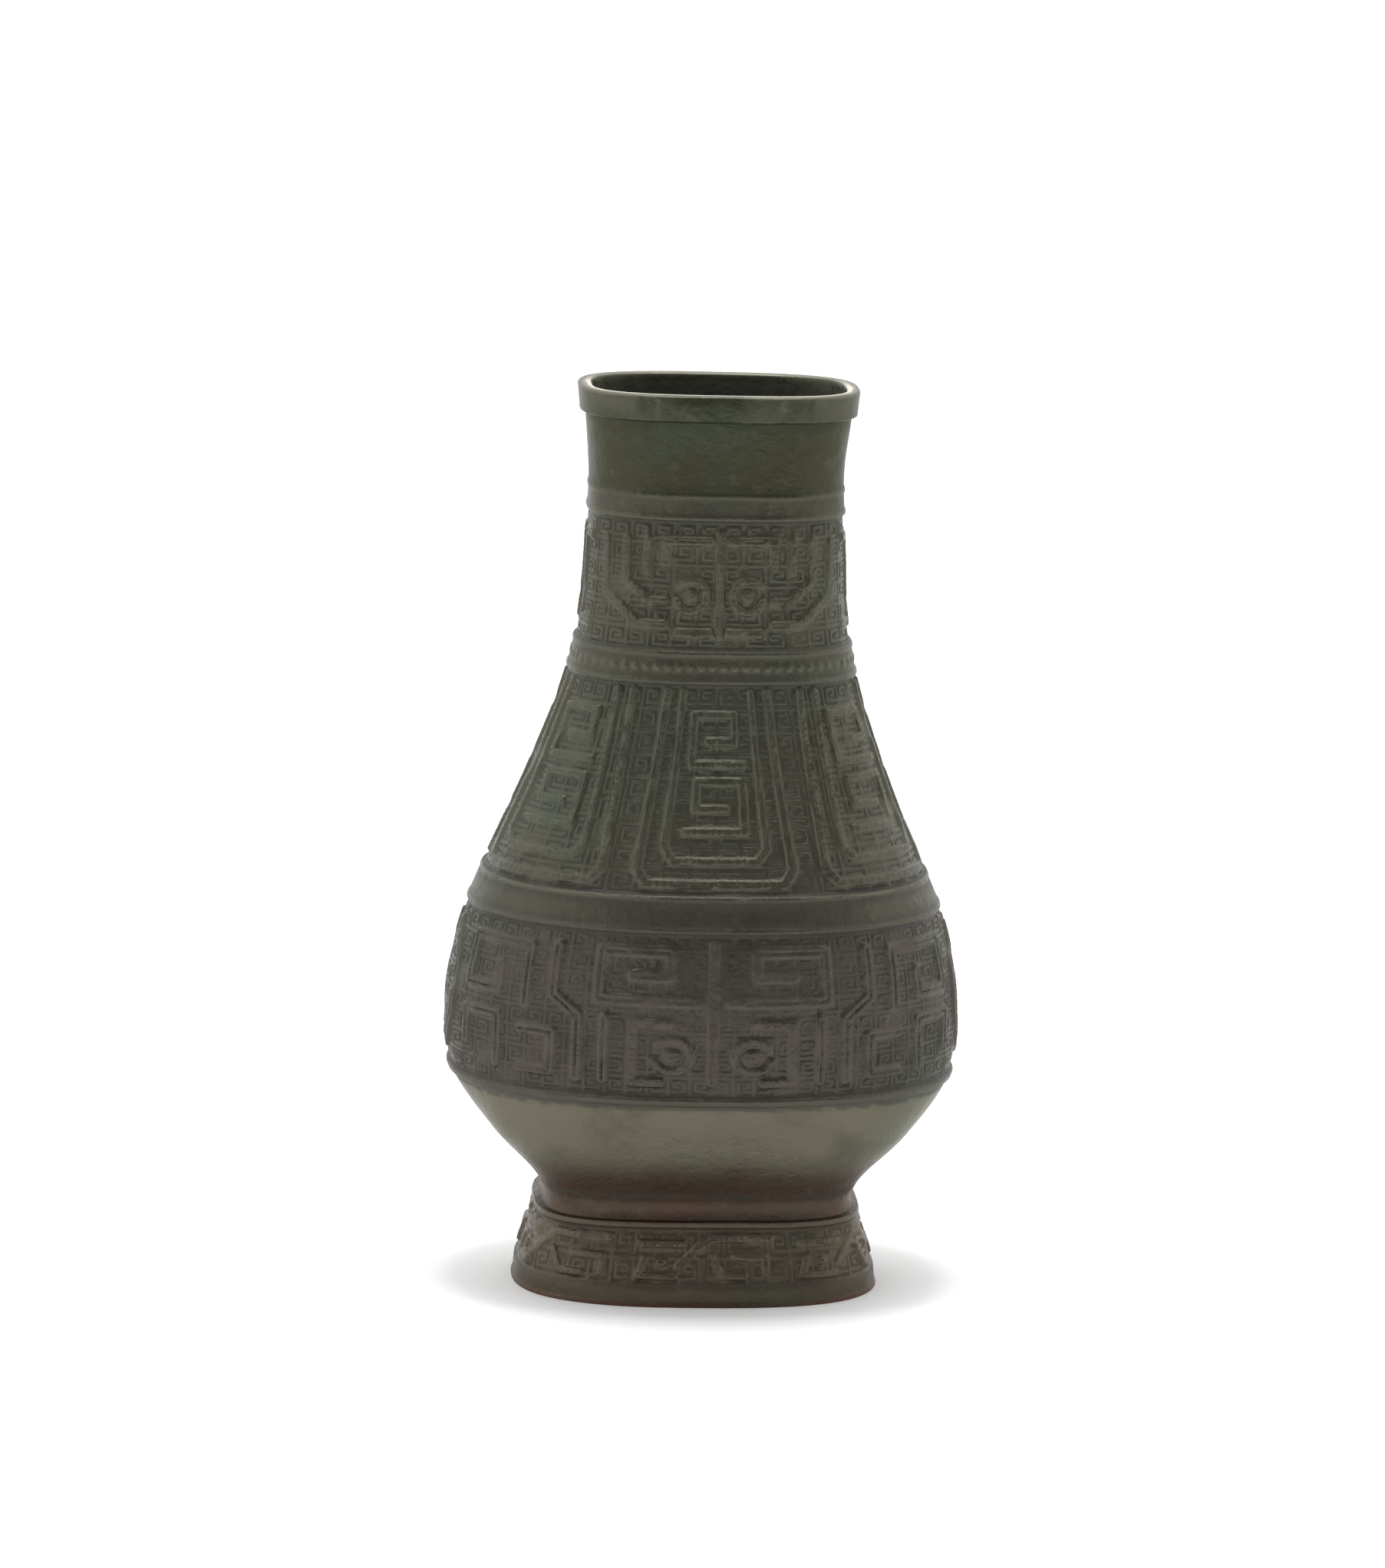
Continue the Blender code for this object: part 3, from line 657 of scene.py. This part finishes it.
def grime_and_painted_shade(heights):
    """How much dirt and painted shade lie in the corners under and over the ledges, from 0 up. Under the
    belly band it is mostly a painted shadow.
    """
    corners = (
        (FOOT_LIP_HEIGHT, 0.5), (FOOT_TOP - BORDER_WIDTH, 0.6), (FOOT_TOP + BEVEL, 0.2), (CREASE, 1.1),
        (BELLY_LOW - BEVEL, 1.7), (BELLY_LOW + BORDER_WIDTH + BEVEL, 0.6),
        (BELLY_TOP, 0.9), (BELLY_TOP + RIDGE_WIDTH, 0.4),
        (SHOULDER_LOW - RIDGE_WIDTH, 0.5), (SHOULDER_LOW, 0.8),
        (SHOULDER_TOP, 0.6), (SHOULDER_TOP + RIDGE_WIDTH, 0.4),
        (NECK_LOW - RIDGE_WIDTH, 0.4), (NECK_LOW, 0.6),
        (NECK_TOP, 0.6), (NECK_TOP + RIDGE_WIDTH, 0.3),
        (PLAIN_LOW - RIDGE_WIDTH, 0.3), (PLAIN_LOW, 0.4), (LIP_LOW, 0.8),
    )
    return sum(depth * np.exp(-(((heights - place) / GRIME_AND_SHADE_WIDTH) ** 2)) for place, depth in corners)


def pearls(heights):
    """A row of small bosses on the girdle under the neck: their height in metres, and their shape, 0 to 1."""
    low, high = SHOULDER_TOP + RIDGE_WIDTH, NECK_LOW - RIDGE_WIDTH
    wide = quarter_length(BODY, between(low, high, 0.5)) * TO_MM
    pitch = 2 * wide / round(2 * wide / PEARL_PITCH)
    x = (TURNS * 4 * wide) % pitch - pitch / 2
    y = (heights - between(low, high, 0.5)) * TO_MM
    share = np.hypot(x[None, :], y[:, None]) / (PEARL_RADIUS * pitch)
    shape = smooth(PEARL_SLOPE - PEARL_SLOPE * share)
    return PEARL_HEIGHT / TO_MM * shape, shape


class Surface:
    """Rows of points across the front half, each with its values of "proud"."""

    def __init__(self):
        self.rows = []
        self.proud = []

    def add(self, points, proud=UNDERSIDE):
        self.rows.append(points)
        self.proud.append(np.broadcast_to(np.asarray(proud, float), (len(points),)))

    def to(self, points, step, proud=UNDERSIDE):
        """Rows from the last one straight to this one."""
        last = self.rows[-1]
        count = max(1, math.ceil(np.linalg.norm(points - last, axis=1).max() / step))
        for i in range(1, count + 1):
            self.add(between(last, points, i / count), proud)

    def wall(self, curve, low, high, step):
        """The outer wall over the last row, which lies at the low height, with its ledges and figures."""
        grid = np.linspace(low, high, WALL_SAMPLES)
        halves = np.array([curve.at(height)[0] for height in grid])
        length = np.concatenate([[0.0], np.cumsum(np.hypot(np.diff(grid), np.diff(halves)))])
        count = math.ceil(length[-1] / step)
        heights = np.interp(np.linspace(0.0, length[-1], count + 1), length, grid)
        nodes = ledges(curve)
        out = np.interp(heights, [node[0] for node in nodes], [node[1] for node in nodes])
        kernel = np.array([1, 2, 1]) / 4
        out = np.convolve(np.pad(out, 1, mode="edge"), kernel, mode="valid")
        relief = np.zeros((len(heights), COLUMNS + 1))
        proud = np.full_like(relief, PLAIN)
        for band_curve, band_low, band_high, figures in (FOOT_BAND, BELLY_BAND, SHOULDER_BAND, NECK_BAND):
            inside = (heights > band_low) & (heights < band_high)
            if band_curve is curve and inside.any():
                band = band_relief(curve, band_low, band_high, figures, heights[inside])
                relief[inside], proud[inside] = band
        if curve is BODY:
            boss, shape = pearls(heights)
            relief += boss
            proud += ON_PEARL * shape
        # Ridges are rubbed lighter with a painted highlight; the corners get dirt and painted shade
        proud += (ON_RIDGE * np.clip(out / RIDGE_PROUD, 0, 1) - grime_and_painted_shade(heights))[:, None]
        # A painted highlight line along the ridge under the shoulder band
        proud += ON_PAINTED_HIGHLIGHT_LINE * np.exp(-(((heights - PAINTED_HIGHLIGHT_LINE) / PAINTED_HIGHLIGHT_LINE_WIDTH) ** 2))[:, None]
        for i in range(1, len(heights)):
            self.add(ring(curve, heights[i], out[i] + relief[i]), proud[i])


def vase_surface():
    """The front half's rows, from the underside, out and up the wall, over the lip and in to the floor."""
    surface = Surface()
    surface.add(ring(BODY, CREASE, -WALL, CORE_SHARE, CEILING))
    surface.to(ring(BODY, CREASE, -WALL, FLOOR_SHARE, CEILING), 2 * INNER_STEP)
    for share in RECESS_SHARES:
        surface.to(ring(FOOT, between(0.0, FOOT_TOP, share), -WALL), INNER_STEP)
    surface.to(ring(FOOT, 0.0, -FOOT_RING_WIDTH, level=0.0), INNER_STEP)
    surface.to(ring(FOOT, 0.0, -BEVEL, level=0.0), INNER_STEP)
    surface.to(ring(FOOT, 0.0, -0.3 * BEVEL, level=0.25 * BEVEL), OUTER_STEP)
    surface.to(ring(FOOT, BEVEL), OUTER_STEP, PLAIN)
    surface.wall(FOOT, BEVEL, FOOT_TOP, OUTER_STEP)
    surface.to(ring(FOOT, FOOT_TOP, 0.5 * BORDER_PROUD, level=FOOT_TOP + 0.4 * BEVEL), OUTER_STEP, EDGE)
    surface.to(ring(BODY, FOOT_TOP + BEVEL), OUTER_STEP, STEP)
    surface.wall(BODY, FOOT_TOP + BEVEL, LIP_LOW - BEVEL, OUTER_STEP)
    surface.to(ring(LIP, LIP_LOW, -0.5 * BEVEL, level=LIP_LOW), OUTER_STEP, STEP)
    for rise in (0.35, 1.2):
        surface.to(ring(LIP, LIP_LOW, level=LIP_LOW + rise * BEVEL), OUTER_STEP, EDGE)
    corner = LIP_THICKNESS / 4
    turns = [math.pi / 2 * i / CORNER_STEPS for i in range(1, CORNER_STEPS + 1)]
    surface.to(ring(LIP, HEIGHT - corner), 2 * OUTER_STEP, LIP_FACE)
    for turn in turns:
        inset, level = corner * (1 - math.cos(turn)), HEIGHT - corner * (1 - math.sin(turn))
        surface.add(ring(LIP, HEIGHT, -inset, level=level), LIP_CORNER)
    surface.to(ring(LIP, HEIGHT, -LIP_THICKNESS / 2, level=HEIGHT), 2 * OUTER_STEP, LIP_TOP)
    # The inner edge of the lip: polished, with a painted highlight
    surface.to(ring(LIP, HEIGHT, corner - LIP_THICKNESS, level=HEIGHT), 2 * OUTER_STEP, POLISHED_HIGHLIGHT_MARK)
    for i, turn in enumerate(turns):
        inset, level = corner * (1 - math.sin(turn)), HEIGHT - corner * (1 - math.cos(turn))
        proud = POLISHED_HIGHLIGHT_MARK if i < POLISHED_HIGHLIGHT_STEPS else EDGE
        surface.add(ring(LIP, HEIGHT, inset - LIP_THICKNESS, level=level), proud)
    surface.to(ring(BODY, LIP_LOW, -WALL), INNER_STEP, INSIDE)
    for i in range(INNER_ROWS - 1, INNER_LOWEST - 1, -1):
        surface.add(ring(BODY, between(CREASE, LIP_LOW, i / INNER_ROWS), -WALL), INSIDE)
    surface.to(ring(BODY, CREASE, -WALL, FLOOR_SHARE, FLOOR), INNER_STEP, INSIDE)
    surface.to(ring(BODY, CREASE, -WALL, CORE_SHARE, FLOOR), 2 * INNER_STEP, INSIDE)
    return np.array(surface.rows), np.array(surface.proud)


def new_mesh(name, points, faces):
    """A mesh from numpy arrays of points and of faces with equal corners."""
    mesh = bpy.data.meshes.new(name)
    corners = faces.shape[1]
    mesh.vertices.add(len(points))
    mesh.vertices.foreach_set("co", points.astype(np.float32).ravel())
    mesh.loops.add(faces.size)
    mesh.loops.foreach_set("vertex_index", faces.astype(np.int32).ravel())
    mesh.polygons.add(len(faces))
    mesh.polygons.foreach_set("loop_start", np.arange(0, faces.size, corners, dtype=np.int32))
    mesh.update(calc_edges=True)
    return mesh


def half_mesh(points, proud):
    """The front half as a mesh. Its vertex group holds all that may be thinned out: not the upright edges."""
    rows, columns = points.shape[:2]
    index = np.arange(rows * columns).reshape(rows, columns)
    a, b = index[:-1, :-1].ravel(), index[:-1, 1:].ravel()
    c, d = index[1:, 1:].ravel(), index[1:, :-1].ravel()
    under, floor = rows * columns, rows * columns + 1
    first, last = index[0], index[-1]
    triangles = np.concatenate([
        np.stack([a, b, c], axis=1),
        np.stack([a, c, d], axis=1),
        np.stack([np.full(columns - 1, under), first[1:], first[:-1]], axis=1),
        np.stack([last[:-1], last[1:], np.full(columns - 1, floor)], axis=1),
    ])
    everything = np.concatenate([points.reshape(-1, 3), [(0.0, 0.0, CEILING), (0.0, 0.0, FLOOR)]])
    mesh = new_mesh("half", everything, triangles)
    mesh.attributes.new("proud", "FLOAT", "POINT").data.foreach_set(
        "value", np.concatenate([proud.ravel(), [UNDERSIDE, INSIDE]]).astype(np.float32)
    )
    half = bpy.data.objects.new("half", mesh)
    bpy.context.scene.collection.objects.link(half)
    kept = np.concatenate([index[:, 0], index[:, -1], [under, floor]])
    free = np.ones(len(everything), bool)
    free[kept] = False
    group = half.vertex_groups.new(name="free")
    group.add(np.flatnonzero(free).tolist(), 1.0, "REPLACE")
    group.add(kept.tolist(), 0.0, "REPLACE")
    return half


def fewer_triangles(half, wanted):
    """The half with its flat places drawn in fewer triangles. Its upright edges keep their points."""
    modifier = half.modifiers.new("fewer", "DECIMATE")
    modifier.ratio = wanted / len(half.data.polygons)
    modifier.vertex_group = "free"
    graph = bpy.context.evaluated_depsgraph_get()
    mesh = half.evaluated_get(graph).to_mesh()
    points = np.empty(len(mesh.vertices) * 3, np.float32)
    mesh.vertices.foreach_get("co", points)
    mesh.calc_loop_triangles()
    faces = np.empty(len(mesh.loop_triangles) * 3, np.int32)
    mesh.loop_triangles.foreach_get("vertices", faces)
    proud = np.empty(len(mesh.vertices), np.float32)
    mesh.attributes["proud"].data.foreach_get("value", proud)
    bpy.data.objects.remove(half, do_unlink=True)
    return points.reshape(-1, 3).astype(float), faces.reshape(-1, 3), proud


def uneven(points):
    """How far the slow swells of the casting move each point away from the axis, in metres."""
    x, y, z = points.T * TO_MM
    return sum(size * np.sin(a * x + b * y + c * z + phase) for size, a, b, c, phase in SWELLS) / TO_MM


def build_vase():
    """The front half, thinned out, and its copy turned to the back, joined and made slightly uneven."""
    points, faces, proud = fewer_triangles(half_mesh(*vase_surface()), MOST_TRIANGLES / 2)
    turned = points * np.array([-1.0, -1.0, 1.0])
    everything = np.concatenate([points, turned])
    shape = bmesh.new()
    shape.from_mesh(new_mesh("whole", everything, np.concatenate([faces, faces + len(points)])))
    layer = shape.verts.layers.float.new("proud")
    for vertex, value in zip(shape.verts, np.concatenate([proud, proud])):
        vertex[layer] = value
    seam = [vertex for vertex in shape.verts if abs(vertex.co.y) < WELD]
    bmesh.ops.remove_doubles(shape, verts=seam, dist=WELD)
    mesh = bpy.data.meshes.new("bronze_vase")
    shape.to_mesh(mesh)
    shape.free()
    spots = np.empty(len(mesh.vertices) * 3, np.float32)
    mesh.vertices.foreach_get("co", spots)
    spots = spots.reshape(-1, 3).astype(float)
    radial = spots * (1, 1, 0)
    radial /= np.maximum(np.linalg.norm(radial, axis=1), SWELL_CORE)[:, None]
    spots += radial * uneven(spots)[:, None]
    low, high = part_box("vase")
    spots = np.clip(spots, np.array(low), np.array(high))
    mesh.vertices.foreach_set("co", spots.astype(np.float32).ravel())
    mesh.update()
    mesh.shade_smooth()
    mesh.set_sharp_from_angle(angle=math.radians(SHARP_ANGLE))
    vase = bpy.data.objects.new("bronze_vase", mesh)
    bpy.context.scene.collection.objects.link(vase)
    return vase


class Nodes:
    """Short calls that add nodes to a material and join them."""

    def __init__(self, name):
        self.material = bpy.data.materials.new(name)
        self.material.use_nodes = True
        self.tree = self.material.node_tree
        self.shader = self.tree.nodes["Principled BSDF"]

    def set(self, socket, value):
        if isinstance(value, bpy.types.NodeSocket):
            self.tree.links.new(value, socket)
        elif socket.type == "RGBA" and not isinstance(value, (int, float)):
            socket.default_value = (*value, 1.0)
        else:
            socket.default_value = value

    def node(self, kind, outlet, settings=(), **inputs):
        node = self.tree.nodes.new(kind)
        for key, value in dict(settings).items():
            setattr(node, key, value)
        for key, value in inputs.items():
            self.set(node.inputs[key.replace("_", " ")], value)
        return node.outputs[outlet]

    def attribute(self, name):
        return self.node("ShaderNodeAttribute", "Fac", {"attribute_name": name})

    def place(self):
        return self.node("ShaderNodeTexCoord", "Object")

    def noise(self, scale, detail, roughness, distortion):
        return self.node(
            "ShaderNodeTexNoise", "Fac",
            Vector=self.place(), Scale=scale, Detail=detail, Roughness=roughness, Distortion=distortion,
        )

    def range(self, value, low, high, to_low=0.0, to_high=1.0):
        """The value from low to high, turned into a smooth step between two others."""
        return self.node(
            "ShaderNodeMapRange", "Result", {"interpolation_type": "SMOOTHSTEP"},
            Value=value, From_Min=low, From_Max=high, To_Min=to_low, To_Max=to_high,
        )

    def math(self, operation, a, b=0.0):
        node = self.tree.nodes.new("ShaderNodeMath")
        node.operation = operation
        self.set(node.inputs[0], a)
        self.set(node.inputs[1], b)
        return node.outputs[0]

    def mix(self, share, a, b):
        node = self.tree.nodes.new("ShaderNodeMix")
        node.data_type = "RGBA"
        self.set(node.inputs["Factor"], share)
        self.set(node.inputs["A"], a)
        self.set(node.inputs["B"], b)
        return node.outputs["Result"]


def patina():
    """Dark olive-brown bronze: a green bloom and painted shade on the neck, a painted reflection low on the
    belly, a browner foot, dirt and painted shade in the hollows, and painted highlights.
    """
    n = Nodes("patina")
    height = n.node("ShaderNodeSeparateXYZ", "Z", Vector=n.place())
    # The painted highlights of the lip and edges are full on the front and fade towards the back
    front = n.range(height.node.outputs["Y"], *FRONT_HIGHLIGHT_FADE, 1.0, BACK_HIGHLIGHT_SHARE)
    proud = n.attribute("proud")
    cloud, patches, fine, grain = [n.noise(*pattern) for pattern in (CLOUD, PATCHES, FINE, GRAIN)]
    low = n.math("ADD", height, n.math("MULTIPLY", cloud, CLOUD_RISE))

    # Colours by height, with a painted reflection on the lower belly and painted shade on the neck and in the
    # crease
    colour = n.mix(n.range(height, *BELLY_FADE), BROWN, OLIVE)
    # The lower belly takes the grey-olive tone with its painted reflection of the floor
    colour = n.mix(n.range(height, *LOWER_BELLY_FADE), GREY_OLIVE_AND_PAINTED_REFLECTION, colour)
    colour = n.mix(n.range(low, *RUSSET_FADE), RUSSET, colour)
    colour = n.mix(n.range(height, *FOOT_FADE, 1.0, 0.0), colour, FOOT_BROWN)
    # The plain neck: olive green with painted shade
    colour = n.mix(n.range(height, *NECK_FADE, 0.0, NECK_SHARE), colour, NECK_OLIVE_AND_PAINTED_SHADE)
    # A dark red-brown band of painted shade in the crease over the foot
    under, over = n.range(height, *JUNCTION_START), n.range(low, *JUNCTION_END, JUNCTION_SHADE_SHARE, 0.0)
    colour = n.mix(n.math("MULTIPLY", under, over), colour, JUNCTION_PAINTED_SHADE)
    colour = n.mix(n.range(height, *RED_FADE, RED_SHARE, 0.0), colour, RED_EDGE)

    # Patches: the pattern, its range, how much is laid on, and the colour
    for pattern, start, end, share, tint in (
        (cloud, 0.50, 0.68, 0.45, GREEN),
        (patches, 0.50, 0.75, 0.40, UMBER),
        (fine, 0.52, 0.80, 0.30, DUST),
    ):
        colour = n.mix(n.range(pattern, start, end, 0.0, share), colour, tint)

    # Wear and painted highlights on what stands out, dirt in what lies deep with painted shade in the
    # corners, the lip's polish with its painted highlight, and the inside painted dark as shade
    # Rubbed wear on raised places, lighter as a painted highlight
    rubbed = n.math("MULTIPLY", n.range(proud, *RUBBED_AND_HIGHLIGHT_RANGE), n.range(patches, 0.35, 0.65, 0.2, 1.0))
    colour = n.mix(n.math("MULTIPLY", rubbed, RUBBED_AND_HIGHLIGHT_SHARE), colour, RUBBED_AND_PAINTED_HIGHLIGHT)
    # Worn edges with a painted highlight, strongest on the front
    worn = n.range(patches, 0.42, 0.62, 0.0, WORN_EDGE_HIGHLIGHT_SHARE)
    worn = n.math("MULTIPLY", n.range(proud, *WORN_EDGE_HIGHLIGHT_RANGE), worn)
    colour = n.mix(n.math("MULTIPLY", worn, front), colour, WORN_EDGE_AND_PAINTED_HIGHLIGHT)
    # Dirt in the grooves and painted shade in the corners
    hollow = n.range(proud, *HOLLOW_RANGE, 1.0, 0.0)
    colour = n.mix(n.math("MULTIPLY", hollow, DIRT_AND_SHADE_SHARE), colour, DIRT_AND_PAINTED_SHADE)
    # The polished lip edge with a painted highlight, strongest on the front
    colour = n.mix(n.math("MULTIPLY", n.range(proud, *POLISHED_HIGHLIGHT_RANGE), front), colour, POLISH_AND_PAINTED_HIGHLIGHT)
    # The inside painted dark as shade
    inside = n.range(proud, *INSIDE_RANGE, 1.0, 0.0)
    colour = n.mix(inside, colour, INSIDE_PAINTED_SHADE)
    n.set(n.shader.inputs["Base Color"], colour)

    metal = n.range(hollow, 0.0, 1.0, METAL, METAL_HOLLOW)
    n.set(n.shader.inputs["Metallic"], n.range(inside, 0.0, 1.0, metal, METAL_INSIDE))
    rough = n.range(patches, 0.3, 0.7, *ROUGHNESS)
    rough = n.math("ADD", rough, n.math("MULTIPLY", hollow, ROUGHNESS_HOLLOW))
    n.set(n.shader.inputs["Roughness"], n.range(inside, 0.0, 1.0, rough, ROUGHNESS_INSIDE))
    bump = n.node("ShaderNodeBump", "Normal", Strength=GRAIN_STRENGTH, Distance=GRAIN_DEPTH, Height=grain)
    bump = n.node(
        "ShaderNodeBump", "Normal", Strength=FINE_STRENGTH, Distance=FINE_DEPTH, Height=fine, Normal=bump,
    )
    n.set(n.shader.inputs["Normal"], bump)
    return n.material


def build_floor():
    """A pale floor that the vase stands on."""
    corners = [(x * FLOOR_HALF, y * FLOOR_HALF, 0.0) for x, y in ((-1, -1), (1, -1), (1, 1), (-1, 1))]
    mesh = bpy.data.meshes.new("floor")
    mesh.from_pydata(corners, [], [(0, 1, 2, 3)])
    floor = bpy.data.objects.new("floor", mesh)
    bpy.context.scene.collection.objects.link(floor)
    n = Nodes("floor_white")
    n.shader.inputs["Base Color"].default_value = (FLOOR_WHITE, FLOOR_WHITE, FLOOR_WHITE, 1.0)
    n.shader.inputs["Roughness"].default_value = FLOOR_ROUGHNESS
    mesh.materials.append(n.material)


def build_light():
    """A white studio, dark behind the camera, and a soft panel overhead."""
    world = bpy.data.worlds.new("studio")
    world.use_nodes = True
    tree = world.node_tree
    ways = tree.nodes.new("ShaderNodeTexCoord")
    facing = tree.nodes.new("ShaderNodeVectorMath")
    facing.operation = "DOT_PRODUCT"
    facing.inputs[1].default_value = DARK_SIDE
    tree.links.new(ways.outputs["Generated"], facing.inputs[0])
    spread = tree.nodes.new("ShaderNodeMapRange")
    spread.interpolation_type = "SMOOTHSTEP"
    spread.inputs["From Min"].default_value = DARK_FROM
    spread.inputs["From Max"].default_value = DARK_FULL
    spread.inputs["To Min"].default_value = STUDIO_WHITE
    spread.inputs["To Max"].default_value = STUDIO_DARK
    tree.links.new(facing.outputs["Value"], spread.inputs["Value"])
    background = tree.nodes["Background"]
    background.inputs["Color"].default_value = (1.0, 1.0, 1.0, 1.0)
    tree.links.new(spread.outputs["Result"], background.inputs["Strength"])
    bpy.context.scene.world = world
    panel = bpy.data.lights.new("overhead_panel", "AREA")
    panel.shape = "RECTANGLE"
    panel.size = panel.size_y = OVERHEAD_SIZE
    panel.energy = OVERHEAD_POWER
    light = bpy.data.objects.new("overhead_panel", panel)
    light.location = (0.0, 0.0, OVERHEAD_HEIGHT)
    bpy.context.scene.collection.objects.link(light)


def build_camera():
    """The photo's view: its frame is 1805 by 2044 pixels, and the long side holds the 36 mm sensor."""
    turn, rise, roll = math.radians(CAMERA_TURN), math.radians(CAMERA_RISE), math.radians(CAMERA_ROLL)
    across = Vector((math.cos(turn), math.sin(turn), 0.0))
    target = across * TARGET_ACROSS + Vector((0.0, 0.0, TARGET_HEIGHT))
    back = Vector((math.sin(turn) * math.cos(rise), -math.cos(turn) * math.cos(rise), math.sin(rise)))
    up = back.cross(across)
    right = across * math.cos(roll) + up * math.sin(roll)
    above = up * math.cos(roll) - across * math.sin(roll)
    facing = Matrix((right, above, back)).transposed().to_4x4()
    data = bpy.data.cameras.new("camera")
    data.sensor_width = SENSOR
    data.lens = FOCAL_PIXELS / LONG_SIDE_PIXELS * SENSOR
    camera = bpy.data.objects.new("camera", data)
    camera.matrix_world = Matrix.Translation(target + back * CAMERA_DISTANCE) @ facing
    bpy.context.scene.collection.objects.link(camera)
    bpy.context.scene.camera = camera


def main():
    vase = build_vase()
    vase.data.materials.append(patina())
    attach(vase, "root")
    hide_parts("vase")
    build_floor()
    build_light()
    build_camera()
    bpy.context.scene.view_settings.view_transform = "Standard"


main()
